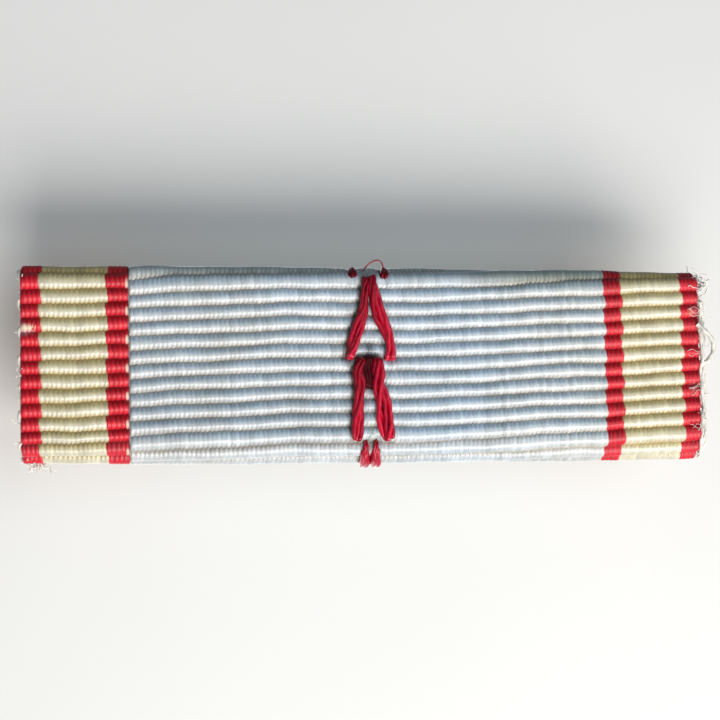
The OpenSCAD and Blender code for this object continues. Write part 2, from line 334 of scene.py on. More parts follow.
def makeCamera():
    a, e, roll = (math.radians(view[k]) for k in ("azimuth", "elevation", "roll"))
    back = Vector((math.sin(a) * math.cos(e), -math.cos(a) * math.cos(e), math.sin(e)))
    data = bpy.data.cameras.new("photoCamera")
    data.lens = view["lens"]
    data.sensor_width = view["sensor"]
    data.clip_start = view["nearest"] * mm
    camera = bpy.data.objects.new("photoCamera", data)
    scene.collection.objects.link(camera)
    turn = (-back).to_track_quat("-Z", "Y").to_matrix() @ Matrix.Rotation(roll, 3, "Z")
    camera.matrix_world = turn.to_4x4()
    camera.location = (Vector(view["aim"]) + back * view["distance"]) * mm
    scene.camera = camera


makeCamera()
print("camera set")


# the cloth's way round the bar

bandNodes = [
    "ribbon_red_edge_left", "ribbon_cream_band_left", "ribbon_red_inner_left", "ribbon_blue_field",
    "ribbon_red_inner_right", "ribbon_cream_band_right", "ribbon_red_edge_right",
]
bandColours = ["red", "cream", "red", "blue", "red", "cream", "red"]
blueBand = bandColours.index("blue")
wrap = {
    "padRadius": {1: 0.4, -1: 1.15},  # of the pad's top edge, and of its rounder bottom edge
    "edgeRadius": 0.55,  # round the carrier's folded edge
    "lipRadius": 0.2,  # round the lip's own edge
    "lipEdge": 2.33,  # height at which the lips end
    "tuckTop": 3.55,  # height at which the tucked ends stop
    "bow": 0.1,  # how far the long edges stand off at mid-length
    "redReach": 0.11,  # how far the left inner red's yarns reach past their solid
}
bandEdges = np.array([nodeBox(n)[0][0] for n in bandNodes] + [nodeBox(bandNodes[-1])[1][0]])
bandEdges[blueBand] += wrap["redReach"]
leftEnd, fieldStart, rightEnd = bandEdges[[0, blueBand, -1]]
padFront = nodeBox("padding_felt")[0][1]
lipBack = nodeBox("carrier_plate")[1][1]
halfHeight = nodeBox("carrier_plate")[1][2]
quarter = math.pi / 2


def wrapStretches(padRadius):  # length and radius of each stretch, from the middle of the front
    edge, lip = wrap["edgeRadius"], wrap["lipRadius"]
    return [
        (halfHeight - padRadius, 0),
        (padRadius * quarter, padRadius),
        (lipBack - padFront - padRadius - edge, 0),
        (edge * quarter, edge),
        (halfHeight - edge - wrap["lipEdge"] - lip, 0),
        (lip * 2 * quarter, lip),
        (wrap["tuckTop"] - wrap["lipEdge"] - lip, 0),
    ]


stretches = {side: wrapStretches(radius) for side, radius in wrap["padRadius"].items()}  # 1 is up, -1 down
wrapLength = {side: sum(length for length, radius in stretches[side]) for side in stretches}


def follow(go, radius, heading):  # steps back and outwards on the way along a stretch, and its turn
    if not radius:
        return go * np.sin(heading), go * np.cos(heading), go * 0
    swing = go / radius
    back = radius * (np.cos(heading) - np.cos(heading + swing))
    out = radius * (np.sin(heading + swing) - np.sin(heading))
    return back, out, swing


def clothPlace(x, along, raised):  # a point at a signed distance along the wrap, raised off its inner face
    x, along, raised = np.broadcast_arrays(*(np.asarray(v, float) for v in (x, along, raised)))
    far = np.abs(along)
    y, z, turn = (np.zeros(far.shape) for n in range(3))
    for side in stretches:
        at = np.array([padFront, 0.0])
        heading, start = 0.0, 0.0
        mine = (along < 0) == (side < 0)
        for n, (length, radius) in enumerate(stretches[side]):
            last = n == len(stretches[side]) - 1
            here = mine & (far >= start) & (last | (far <= start + length))
            back, out, swing = follow(far[here] - start, radius, heading)
            y[here] = at[0] + back
            z[here] = at[1] + out
            turn[here] = heading + swing
            back, out, swing = follow(length, radius, heading)
            at = at + (back, out)
            heading += swing
            start += length
    raised = raised + wrap["bow"] * (1 - (x / rightEnd) ** 2) * np.sin(turn)
    y = y - raised * np.cos(turn)
    z = (z + raised * np.sin(turn)) * np.where(along < 0, -1, 1)
    return np.stack([x, y, z], -1)


print("wrap lengths", wrapLength)

# the stitches, each bundle of strands through (x, height, width) points on the front
stitchLines = {
    "upper": [
        [(-0.26, 4.27, 0.26), (-0.32, 3.95, 0.38), (-0.38, 2.84, 0.56),
         (-0.66, 1.95, 0.68), (-0.95, 1.04, 0.64), (-1.17, 0.32, 0.50)],
        [(0.05, 4.31, 0.32), (0.11, 3.95, 0.52), (0.31, 2.84, 0.74),
         (0.66, 1.95, 0.70), (0.91, 1.04, 0.66), (0.98, 0.28, 0.60)],
    ],
    "deep": [  # single strands that lie deep between the lower legs
        [(-0.44, 0.40, 0.40), (-0.42, -0.40, 0.40), (-0.38, -1.00, 0.40)],
        [(-0.29, 0.46, 0.40), (-0.27, -0.40, 0.40), (-0.24, -1.14, 0.40)],
        [(-0.14, 0.47, 0.40), (-0.12, -0.40, 0.40), (-0.10, -1.20, 0.40)],
        [(0.00, 0.47, 0.40), (0.02, -0.40, 0.40), (0.03, -1.22, 0.40)],
        [(0.13, 0.45, 0.40), (0.15, -0.40, 0.40), (0.16, -1.16, 0.40)],
        [(0.26, 0.38, 0.40), (0.28, -0.35, 0.40), (0.28, -1.00, 0.40)],
    ],
    "lower": [
        [(-0.50, 0.38, 0.40), (-0.74, -0.38, 0.54), (-0.62, -1.05, 0.60), (-0.61, -1.74, 0.68),
         (-0.69, -2.63, 0.70), (-0.76, -3.35, 0.64), (-0.77, -3.68, 0.46)],
        [(0.26, 0.38, 0.38), (0.36, -0.38, 0.66), (0.41, -1.05, 0.78), (0.57, -1.74, 0.84),
         (0.66, -2.63, 0.90), (0.75, -3.35, 0.90), (0.82, -3.66, 0.76)],
    ],
    "top": [  # over the bar's top edge
        [(-0.92, 4.27, 0.46), (-0.92, 4.42, 0.52), (-0.91, 4.66, 0.44),
         (-0.90, 5.10, 0.34), (-0.90, 5.60, 0.34)],
        [(0.67, 4.27, 0.48), (0.68, 4.42, 0.58), (0.70, 4.66, 0.48),
         (0.72, 5.10, 0.34), (0.72, 5.60, 0.34)],
    ],
    "bottom": [  # under its bottom edge
        [(-0.28, -3.74, 0.14), (-0.29, -4.04, 0.32), (-0.28, -4.26, 0.50),
         (-0.24, -4.60, 0.60), (-0.20, -5.20, 0.60)],
        [(0.24, -3.72, 0.14), (0.22, -4.02, 0.32), (0.24, -4.24, 0.46),
         (0.29, -4.58, 0.56), (0.33, -5.20, 0.56)],
    ],
}


# the ribbon, woven in one piece with ribs along the bar

ribbon = {
    "yarnPitch": 0.231,  # of the yarns that show on one rib
    "columns": 6,  # to a yarn
    "ribPitch": 0.703,
    "rows": 10,  # to a rib
    "lay": 0.03,  # of the inner face, off the wrap
    "web": 0.2,  # thickness in the furrows
    "selvage": 0.16,  # width that thins out at the ends
    "selvageThick": 0.35,  # share of the thickness that is left there
    "lean": 0.0116,  # of the bands, to a millimetre of height
    "straighten": 2.4,  # distance from the tucked ends in which the ribs stop running askew
    "mapRim": 0.002,  # of the UV map
    "mapStrip": (0.05, 0.04),  # where the outer face begins in it, and the share left for the inner one
    # relief
    "ribHeight": 0.21,
    "ribRound": 0.85,  # power of a sine
    "swell": [(0.08, 0.9, 1.7), (0.05, 2.3, 2.9)],  # of the ribs, as ripples
    "notch": (0.5, 0.05),  # how much lower ribs end where they step, and how far from there
    "yarnHeight": 0.0058,
    "yarnRound": 0.55,
    "yarnShares": (3.0, 0.55, 3.2, 1.0, 3.2, 0.55, 3.0),  # of that height, band by band
    "yarnFuzz": 0.12,
    "jitter": [(0.06, 7.1, 0.0), (0.05, 17.3, 1.0)],  # of the yarns' places, as ripples
    "zigzag": 0.026,  # how far yarns of neighbouring ribs reach past each other
    "slant": 0.3,  # of a yarn's width, over one rib
    "strip": 2.4,  # half the width in which the stitches lie
    "pressed": (0.15, 0.28),  # how deep stitches press the cloth, and how far round them
    "pucker": (0.03, 0.4),
    "corner": 0.4,  # distance from a long edge in which stitches press less
    "cornerEase": 0.8,
    # height of one furrow along the bar: the ribs run askew, and step where the blue field begins
    "furrowLeft": [(-17.45, 0.17), (-16.0, 0.21), (-14.8, 0.20), (-13.6, 0.27), (-12.25, 0.31)],
    "furrowRight": [
        (-12.25, -0.05), (-11.4, 0.02), (-9.8, 0.13), (-8.4, 0.16), (-5.9, 0.27), (-4.4, 0.35), (2.3, 0.39),
        (5.0, 0.48), (6.5, 0.55), (8.6, 0.69), (10.7, 0.79), (12.3, 0.82), (15.0, 0.99), (17.45, 1.11),
    ],
    "wobble": 0.018,  # of each furrow by itself
    "wobbleWaves": (9.0, 4.3, 2.1),
    "edgeFurrow": 4.4,  # a furrow just above this height is pulled down to it
    "edgePull": (0.85, 0.24),  # share of the way, and from how far
    "leftLift": (0.2, 3.6, 0.4),  # of the lowest furrows at the left end, from how low, and over how far
    # colours and tones
    "colour": {"red": (0.64, 0.004, 0.022), "cream": (0.61, 0.575, 0.455), "blue": (0.472, 0.525, 0.585)},
    # painted shade: the furrows between the ribs are tinted darker
    "furrow": {"red": (0.8, 0.4, 0.6), "cream": (0.82, 0.69, 0.42), "blue": (0.86, 0.75, 0.64)},
    "furrowReach": (1.3, 0.2, 0.7),  # how soon a furrow's painted shade ends, and how much sooner on a yarn's crest
    # painted shade: the upper half of each rib faces away from the lamp below and is tinted darker
    "flankShade": {"red": (0.72, 0.4, 0.6), "cream": (0.95, 0.90, 0.63), "blue": (0.81, 1.0, 1.165)},
    "flankFrom": (0.36, 0.4),  # share of a rib at which its upper half's painted shade begins, and over how much
    "dull": {"red": 0.46, "cream": 0.34, "blue": 0.34},  # roughness of the yarns
    "gloss": {"pale": 0.85, "red": 0.54},
    "seams": 0.2,  # how dark the lines between yarns are
    "seamRise": (2.2, 0.4),  # how fast they set in over a rib, and how late
    "step": (0.3, 0.4),  # how much darker, with painted shade, and duller the ribs' ends are where they step
    "dye": (0.06, 0.045),  # how much yarns differ, and each of them from rib to rib
    "lowFrom": 3.85,  # distance at which the bottom edge begins
    "fieldFrom": 3.45,  # the same in the blue field
    "topFrom": 4.2,  # the same for the top edge
    "edgeOver": 0.4,
    "lowEdge": (1.04, 1.04, 1.03),  # painted light: the bottom edge faces the lamp below and is paler
    # painted shade: the top edge faces away from the lamp and is darker
    "topEdge": (0.84, 0.84, 0.73),
    "under": (0.7, 4.45, 0.3),  # share of their painted shade that furrows under the lit bottom edge lose, and where
    "lowFurrow": (0.45, 3.95, 0.3),  # how much darker the furrow above the bottom edge is, with painted shade, and where
    "lowFurrowEnds": (2.0, 6.0),  # it darkens leftwards from this place, over so far
    # the blue is greyer towards the field's ends, and dimmer low on its left
    "fadedLeft": (1.06, 1.0, 0.93),
    "fadedRight": (1.09, 1.03, 0.95),
    "fade": [(-12.3, 1.0), (-8.0, 0.9), (-4.0, 0.6), (0.0, 0.4), (2.0, 0.0), (4.5, 0.0), (8.0, 0.8),
             (11.5, 1.2)],
    "dim": [(-12.3, 0.14), (-8.0, 0.1), (-3.0, 0.08), (0.0, 0.0)],
    "dimOver": 2.0,
    # a pale yarn left of the step on every second rib, pale only on the rib's lit lower half: partly yarn
    # colour, partly painted highlight
    "border": {"colour": (0.70, 0.46, 0.34), "inside": 0.14, "wide": 0.26, "from": -0.22, "top": 0.55},
    # spots where the red yarns are worn off the cream weft: place, size, share
    "worn": [
        ((-17.2, 1.72), (0.42, 0.26), 1.0),
        ((17.05, 2.85), (0.26, 0.3), 0.2),
        ((17.05, -1.15), (0.26, 0.22), 0.3),
    ],
    "wornColour": (0.72, 0.60, 0.44),
    "wornEdge": (2.6, 2.2, 0.5),  # how much is worn in the middle, less with distance, and at random
    # painted shadow left of the left legs, where they cast it
    "legShadow": {"tint": (0.45, 0.36, 0.33), "gap": 0.04, "wide": 0.12},
    # painted shade in darker spots between the stitches and along the top edge: place, size, tint
    "shadeSpots": [
        ((-0.12, 0.78), (0.26, 0.38), (0.2, 0.19, 0.19)),
        ((0.0, -3.45), (0.22, 0.6), (0.82, 0.8, 0.68)),
        ((-0.15, 4.15), (0.16, 0.35), (0.45, 0.4, 0.3)),
        ((9.0, 4.42), (4.2, 0.5), (0.66, 0.69, 0.63)),
    ],
}


def layRibs(rng):  # where rows and columns of the cloth lie: rows follow the ribs
    weave = SimpleNamespace()
    width = rightEnd - leftEnd
    yarns = round(width / ribbon["yarnPitch"])
    weave.pitch = width / yarns
    columns = yarns * ribbon["columns"] + 1
    weave.x = x = np.linspace(leftEnd, rightEnd, columns)[None, :]
    rib, perRib = ribbon["ribPitch"], ribbon["rows"]
    lastRib = int(min(wrapLength.values()) // rib)
    shares = [0.5 - 0.5 * math.cos(math.pi * j / perRib) for j in range(perRib)]  # closer in the furrows
    steps = [(k, share) for k in range(-lastRib, lastRib) for share in shares]
    steps = [(-lastRib - 1, 0.5)] + steps + [(lastRib, 0.0), (lastRib, 0.5)]
    if len(steps) % 2 == 0:  # the inner face takes every second row, with the first and the last
        steps.insert(1, (-lastRib - 1, 0.8))
    k, t = (np.array(part)[:, None] for part in zip(*steps))
    weave.k, weave.t = k, t
    weave.size = (len(steps), columns)

    # each furrow wanders a little by itself, and those near the edges are pulled into place
    furrows = np.zeros((2 * lastRib + 4, columns))
    for length in ribbon["wobbleWaves"]:
        phase = rng.uniform(0, 2 * np.pi, len(furrows))[:, None]
        size = ribbon["wobble"] * (length / ribbon["wobbleWaves"][0]) ** 0.5
        furrows += np.sin(2 * np.pi * x / length + phase) * size
    left = x < fieldStart
    askew = np.where(left, lookUp(ribbon["furrowLeft"], x), lookUp(ribbon["furrowRight"], x)) - rib
    furrowAt = (np.arange(len(furrows))[:, None] - lastRib - 1) * rib + askew
    share, reach = ribbon["edgePull"]
    missing = np.minimum(ribbon["edgeFurrow"] - furrowAt, 0)
    furrows += share * missing * bell(missing, reach)
    lift, low, over = ribbon["leftLift"]
    furrows += lift * ramped(-furrowAt, low, over) * left
    weave.index = k + lastRib + 1
    drift = furrows[weave.index[:, 0]] * (1 - t) + furrows[weave.index[:, 0] + 1] * t
    weave.ribNumber = k + t
    level = weave.ribNumber * rib
    limit = np.where(level < 0, wrapLength[-1], wrapLength[1]) - 0.001  # just inside the cloth's ends
    straight = eased(ramped(limit - np.abs(level), 0, ribbon["straighten"]))
    level[0], level[-1] = -limit[0], limit[-1]

    # yarns of every second rib sit half a yarn to the side
    aside = np.mod(k, 2) * 0.5
    across = x / weave.pitch + ripple(ribbon["jitter"], x) - aside
    phase = across + ribbon["slant"] * (t - 0.5)
    weave.offYarn = phase - np.round(phase)
    weave.yarn = np.round(phase) + aside
    inside = 0.01
    weave.home = np.clip(weave.yarn * weave.pitch, leftEnd + inside, rightEnd - inside)
    band = np.clip(np.searchsorted(bandEdges, weave.home) - 1, 0, len(bandNodes) - 1)
    weave.band = np.where(left, np.minimum(band, blueBand - 1), np.maximum(band, blueBand))
    teeth = ribbon["zigzag"] * np.cos(2 * np.pi * across) * (2 * t - 1)
    weave.along = level + straight * (askew + drift + teeth)
    return weave


def spotDistance(weave, spots):  # how far the cloth is from the nearest spot, in the stitches' strip
    strip = np.abs(weave.x[0]) < ribbon["strip"]
    nearest = np.full(weave.size, 9.0)  # out of any spot's reach
    for spotX, spotZ in spots:
        far = np.hypot(weave.x[:, strip] - spotX, weave.along[:, strip] - spotZ)
        nearest[:, strip] = np.minimum(nearest[:, strip], far)
    return nearest


def raiseRibs(rng, weave):  # heights of the round ribs and their yarns, lower where stitches press
    x, along = weave.x, weave.along
    weave.arch = np.sin(np.pi * weave.t) ** ribbon["ribRound"]
    weave.bead = 0.5 + 0.5 * np.cos(2 * np.pi * weave.offYarn)
    lower, reach = ribbon["notch"]
    weave.notch = bell(x - fieldStart, reach)
    swell = 1 + ripple(ribbon["swell"], x, weave.k)
    crest = ribbon["ribHeight"] * swell * weave.arch * (1 - lower * weave.notch)
    fuzz = np.clip(1 + ribbon["yarnFuzz"] * rng.standard_normal(weave.size), 0.5, 1.5)
    yarn = ribbon["yarnHeight"] * weave.bead * weave.arch ** ribbon["yarnRound"] * fuzz
    yarn = yarn * np.take(ribbon["yarnShares"], weave.band)
    spots = [spot[:2] for lines in stitchLines.values() for line in lines for spot in smoothPath(line, 24)]
    near = spotDistance(weave, spots)
    corner = bell(np.abs(along) - halfHeight, ribbon["corner"])
    depth, reach = ribbon["pressed"]
    pressed = depth * bell(near, reach) * (1 - ribbon["cornerEase"] * corner)
    height, reach = ribbon["pucker"]
    pucker = height * bell(near, reach) * (1 - corner) * rng.standard_normal(weave.size)
    rim = np.clip(1 - np.minimum(x - leftEnd, rightEnd - x) / ribbon["selvage"], 0, 1)
    thick = ribbon["selvageThick"] + (1 - ribbon["selvageThick"]) * np.sqrt(1 - rim ** 2)
    return ribbon["lay"] + (ribbon["web"] + crest + yarn - pressed + pucker) * thick


def perBand(name, band):
    return np.array([ribbon[name][colour] for colour in bandColours])[band]


def dyeYarns(rng, weave):  # colours go yarn by yarn
    x, t, along, band = weave.x, weave.t, weave.along, weave.band
    colours = perBand("colour", band)
    pale = ribbon["border"]
    paleHome = round((fieldStart - pale["inside"]) / weave.pitch) * weave.pitch
    weave.border = np.abs(weave.home - paleHome) < pale["wide"] * weave.pitch
    # pale only low on the rib, where the lamp lights it: partly painted highlight
    weave.border = weave.border & (t < pale["top"]) & (weave.offYarn > pale["from"])
    colours = np.where(weave.border[..., None], pale["colour"], colours)
    most, less, frayed = ribbon["wornEdge"]
    frayed = frayed * rng.standard_normal(weave.size)
    for (wornX, wornZ), (wide, tall), share in ribbon["worn"]:
        far = np.hypot((x - wornX) / wide, (along - wornZ) / tall)
        worn = share * np.clip(most - less * far + frayed, 0, 1)[..., None]
        colours = colours + (np.array(ribbon["wornColour"]) - colours) * worn
    # painted shade in spots between the stitches and on the top edge
    for (shadeX, shadeZ), (wide, tall), tint in ribbon["shadeSpots"]:
        colours = tinted(colours, bell(x - shadeX, wide) * bell(along - shadeZ, tall), tint)
    # painted shadow cast by the left legs onto the cloth on their left
    legShadow = ribbon["legShadow"]
    legs = np.vstack([smoothPath(stitchLines[name][0], 40) for name in ("upper", "lower")])
    beside = spotDistance(weave, [(legX - wide / 2 - legShadow["gap"], legZ) for legX, legZ, wide in legs])
    colours = tinted(colours, bell(beside, legShadow["wide"]), legShadow["tint"])

    # more half yarns and ribs than the cloth has, each with a shade of its own
    halfYarns, ribs = 800, 40
    number = (2 * weave.yarn + halfYarns / 2).astype(int)
    fromYarn, fromRib = ribbon["dye"]
    dye = rng.normal(1, fromYarn, halfYarns)[number]
    spot = rng.normal(1, fromRib, (ribs, halfYarns))[weave.index % ribs, number]

    # tones of furrows, flanks, edges, faded stretches and seams; those of the furrows, the flanks, the step
    # and the top edge are painted shade, that of the bottom edge painted light
    field = band == blueBand
    lowFrom = np.where(field, ribbon["fieldFrom"], ribbon["lowFrom"])
    lowEdge = ramped(-along, lowFrom, ribbon["edgeOver"])
    topEdge = ramped(along, ribbon["topFrom"], ribbon["edgeOver"])
    soon, more, crest = ribbon["furrowReach"]
    depth = eased(np.clip(soon * weave.arch + more * (weave.bead - crest), 0, 1))
    share, start, over = ribbon["under"]
    furrow = 1 - np.maximum(depth, share * ramped(-along, start, over))
    share, low, wide = ribbon["lowFurrow"]
    start, over = ribbon["lowFurrowEnds"]
    lowFurrowShade = share * bell(along + low, wide) * ramped(-x, -start, over)
    flankShade = np.maximum(ramped(t, *ribbon["flankFrom"]) * (1 - lowEdge), topEdge)
    faded = field * lookUp(ribbon["fade"], x)
    fadedTint = np.where((x < 0)[..., None], ribbon["fadedLeft"], ribbon["fadedRight"])
    dim = field * lookUp(ribbon["dim"], x) * ramped(-along, 0, ribbon["dimOver"]) * (1 - lowEdge)
    fast, late = ribbon["seamRise"]
    between = np.abs(2 * weave.offYarn) ** 4 * np.clip(fast * t - late, 0, 1)
    seams = ribbon["seams"] * between * np.take(ribbon["yarnShares"], band)
    dark = 0.0
    tones = [
        (furrow, perBand("furrow", band)),
        (lowFurrowShade * furrow, dark),
        (eased(flankShade), perBand("flankShade", band)),
        (ribbon["step"][0] * weave.notch, dark),
        (lowEdge, ribbon["lowEdge"]),
        (topEdge, ribbon["topEdge"]),
        (faded, fadedTint),
        (dim, dark),
        (seams, dark),
    ]
    for share, tint in tones:
        colours = tinted(colours, share, tint)
    return np.clip(colours * (dye * spot)[..., None], 0, 1)


def makeRibbon(paleLook, redLook):
    rng = np.random.default_rng(11)
    weave = layRibs(rng)
    raised = raiseRibs(rng, weave)
    colours = dyeYarns(rng, weave)
    rows, columns = weave.size
    x = weave.x - ribbon["lean"] * np.clip(weave.along, -halfHeight, halfHeight)
    outer = clothPlace(x, weave.along, raised)

    # the smooth inner face is coarser
    pick = np.ix_(np.arange(0, rows, 2), np.arange(0, columns, ribbon["columns"]))
    inner = clothPlace(x[pick], weave.along[pick], ribbon["lay"])

    def both(field):  # over the outer face, then over the inner one
        field = np.broadcast_to(field, weave.size + np.shape(field)[2:])
        flat = (-1,) + field.shape[2:]
        return np.concatenate([field.reshape(flat), field[pick].reshape(flat)])
    start = rows * columns
    ids = np.arange(start).reshape(rows, columns)
    innerIds = start + np.arange(inner.shape[0] * inner.shape[1]).reshape(inner.shape[:2])
    quads = [gridQuads(rows, columns), gridQuads(*inner.shape[:2], start)[:, ::-1]]
    tris = [
        fan(ids[:, 0], innerIds[:, 0], False),
        fan(ids[:, -1], innerIds[:, -1], True),
        fan(ids[0], innerIds[0], True),
        fan(ids[-1], innerIds[-1], False),
    ]
    points = np.vstack([outer.reshape(-1, 3), inner.reshape(-1, 3)])
    values = {
        "weave": np.column_stack([both(colours), np.ones(len(points))]),
        "dullness": both(perBand("dull", weave.band) + ribbon["step"][1] * weave.notch),
        "yarnNumber": both(weave.x / weave.pitch),
        "ribNumber": both(weave.ribNumber),
    }
    # the inner face has a strip of the UV map below the outer one's
    rim, (low, strip) = ribbon["mapRim"], ribbon["mapStrip"]
    flat = np.meshgrid(np.linspace(rim, 1 - rim, columns), np.linspace(low, 1 - rim, rows))
    uv = both(np.stack(flat, -1))
    uv[start:, 1] *= strip
    isRed = both(np.take([colour == "red" for colour in bandColours], weave.band) & ~weave.border)
    second = (redLook, isRed)
    return makePiece("ribbon", points, np.vstack(quads), np.vstack(tris), paleLook, uv, values, second)


def silkFinish(name, gloss):
    silk = Finish(name, Roughness=0.4, Specular_IOR_Level=gloss, Anisotropic=0.3)
    weave = silk.attribute("weave", "Color")
    place = silk.place()
    grime = silk.noise(place, 420.0, 4.0)
    fleck = silk.noise(place, 9000.0, 2.0)
    dull = silk.ramp(grime, [(0.35, (0.9, 0.88, 0.84)), (0.6, (1.0, 1.0, 1.0))])
    colour = silk.mix(1.0, weave, dull, "MULTIPLY")
    speck = silk.ramp(fleck, [(0.3, (0.88, 0.88, 0.88)), (0.6, (1.04, 1.04, 1.04))])
    colour = silk.mix(1.0, colour, speck, "MULTIPLY")
    yarnNumber = silk.attribute("yarnNumber")
    ribNumber = silk.attribute("ribNumber")
    lanes = silk.add("ShaderNodeCombineXYZ", {}, {"X": yarnNumber * 5.0, "Y": ribNumber * 0.9 + yarnNumber})
    fibres = silk.noise(lanes, 1.6, 2.0)
    rough = silk.attribute("dullness") - 0.06 + 0.12 * silk.noise(place, 2500.0)
    return silk.surface(Base_Color=colour, Roughness=rough, Normal=silk.bump(fibres, 0.22, 0.03))


silkLooks = [silkFinish(tone + "Silk", ribbon["gloss"][tone]) for tone in ("pale", "red")]
ribbonPiece = makeRibbon(*silkLooks)
dress(ribbonPiece, "ribbon_blue", *bandNodes)
print("ribbon woven,", len(ribbonPiece.data.polygons), "faces")


# the embroidery

floss = {
    "radius": 0.125,
    "slim": 0.24,  # widest radius, as a share of the bundle's width
    "sides": 12,
    "points": 110,
    "crest": 0.46,  # how far off the wrap's inner face a strand lies on the ribs
    "high": 0.13,  # half the height of a bundle
    "twist": 0.17,  # turns of a bundle to a millimetre
    "bundleTurn": 0.9,  # from one bundle to the next
    "core": 0.15,  # how far out a bundle's last strand lies
    "sway": [(0.03, 9.0, 2.1)],  # of the strands, sideways, as ripples
    "heave": [(0.012, 13.0, 1.7)],
    "uneven": [(0.08, 11.0, 1.0)],  # of their radius
    "sink": (0.32, 0.2),  # depth of the ends in the cloth, and their length
    "taper": (0.4, 0.05),  # share of the radius at the tips, and over how far it grows
    "ply": 0.1,
    "turns": (0.88, 0.11),  # ply turns of the first strand to a millimetre, and more of each next one
    "tones": (0.55, 1.0),  # range of the strands' own shades
    "shadeRise": 1.6,  # above 1 the last shade is reached before the end
    # bundles by their strands, their lift off the ribs, and their shades at the start and the end; the
    # shades paint shade, darker towards a leg's upper end and on the deep and the top strands
    "upper": [(5, 0.0, (0.4, 1.0)), (5, 0.0, (0.4, 1.0))],
    # nearly black: painted shade on the strands deep between the lower legs
    "deep": [(1, -0.04, (0.0, 0.05))] * 6,
    "lower": [(5, 0.0, (0.38, 0.92)), (5, 0.0, (0.6, 1.0))],
    # dark: painted shade on the strands over the top edge, which faces away from the lamp
    "top": [(6, -0.27, (0.16, 0.22))] * 2,
    "bottom": [(7, -0.05, (0.9, 1.1))] * 2,
    "red": (0.60, 0.0015, 0.027),
    "deepRed": (0.038, 0.001, 0.002),
}


def flossFinish():
    thread = Finish("redFloss", Roughness=0.34, Specular_IOR_Level=0.25, Coat_Roughness=0.2,
                    Specular_Tint=rgb(1.0, 0.52, 0.62))
    along = thread.attribute("along")
    around = thread.attribute("around")
    shade = thread.attribute("shade")
    lanes = thread.add("ShaderNodeCombineXYZ", {}, {"X": along * 1.2, "Y": (around + along * 0.55) * 14.0})
    fibres = thread.noise(lanes, 1.5, 3.0)
    blotch = thread.noise(thread.place(), 3000.0)
    lively = thread.ramp(fibres * 0.6 + blotch * 0.4, [(0.3, (0.4, 0.34, 0.34)), (0.65, (1.34, 1.5, 1.5))])
    # the shade attribute darkens the floss towards deepRed: painted shade, and each strand's own tone
    red = thread.mix(shade, rgb(*floss["deepRed"]), rgb(*floss["red"]))
    colour = thread.mix(1.0, red, lively, "MULTIPLY")
    bump = thread.bump(fibres, 0.5, 0.03)
    rough = 0.3 + 0.14 * fibres - 0.1 * shade
    return thread.surface(Base_Color=colour, Roughness=rough, Coat_Weight=0.62 * shade, Normal=bump)


flossLook = flossFinish()


def bundle(line, count, lift, shade, turn):  # loosely twisted, flattened strands and their shades
    rng = np.random.default_rng(int(1000 * turn) + 3)
    strands, shades = [], []
    leg = smoothPath(line, floss["points"])
    heading = np.gradient(leg[:, :2], axis=0)
    heading /= np.linalg.norm(heading, axis=1)[:, None]
    t = np.linspace(0, 1, len(leg))
    length = distances(leg[:, :2])[-1]
    ends = np.minimum(t, 1 - t) * length
    deep, reach = floss["sink"]
    sink = deep * np.clip(1 - ends / reach, 0, 1) ** 2
    thick = np.minimum(floss["radius"], leg[:, 2] * floss["slim"])
    half = leg[:, 2] / 2 - thick
    high = np.minimum(half, floss["high"])
    tip, grown = floss["taper"]
    taper = np.clip(ends / grown + tip, 0, 1)
    # painted shade along the bundle, darker towards its start
    ramp = shade[0] + (shade[1] - shade[0]) * np.clip(floss["shadeRise"] * t, 0, 1)
    for n in range(count):
        spin = 2 * np.pi * (n / count + floss["twist"] * t * length) + turn
        reach = 1 if n < count - 1 else floss["core"]
        offset = reach * np.cos(spin) * half + ripple(floss["sway"], t, n, turn)
        over = reach * np.sin(spin) * high + ripple(floss["heave"], t, n)
        x = leg[:, 0] - heading[:, 1] * offset
        along = leg[:, 1] + heading[:, 0] * offset
        path = clothPlace(x, along, floss["crest"] + lift + over + high * 0.5 - sink)
        radius = thick * taper * (1 + ripple(floss["uneven"], t, n))
        turns = floss["turns"][0] + n * floss["turns"][1]
        strands.append(tube(path, radius, floss["sides"], floss["ply"], turns))
        tone = np.repeat(ramp * rng.uniform(*floss["tones"]), floss["sides"])
        shades.append(np.append(tone, tone[[0, -1]]))  # the tips' own points come last
    return strands, shades


def makeStitches(name, stoodFor, *groups):
    strands, shades = [], []
    bundles = [(line, *look) for group in groups for line, look in zip(stitchLines[group], floss[group])]
    for n, settings in enumerate(bundles):
        more, tones = bundle(*settings, floss["bundleTurn"] * n)
        strands += more
        shades += tones
    dress(joinTubes(name, strands, flossLook, shades), "red_thread", stoodFor)


makeStitches("upper_chevron_floss", "chevron_upper", "upper")
makeStitches("lower_chevron_floss", "chevron_lower", "deep", "lower")
makeStitches("top_edge_stitches", "chevron_ends_top", "top")
makeStitches("bottom_edge_stitches", "chevron_ends_bottom", "bottom")
print("chevrons stitched")


# the felt between ribbon and carrier

felt = {
    "inset": 0.02,
    "arcPoints": 8,
    "around": 120,
    "columns": 220,
    "waist": 0.015,  # how much lower the ends are than the middle
    "rough": 0.008,
    "endRough": (0.01, 0.003, 0.003),
    "endRings": (1.0, 0.75, 0.45, 0.18),
    "colour": (0.72, 0.67, 0.55),
}


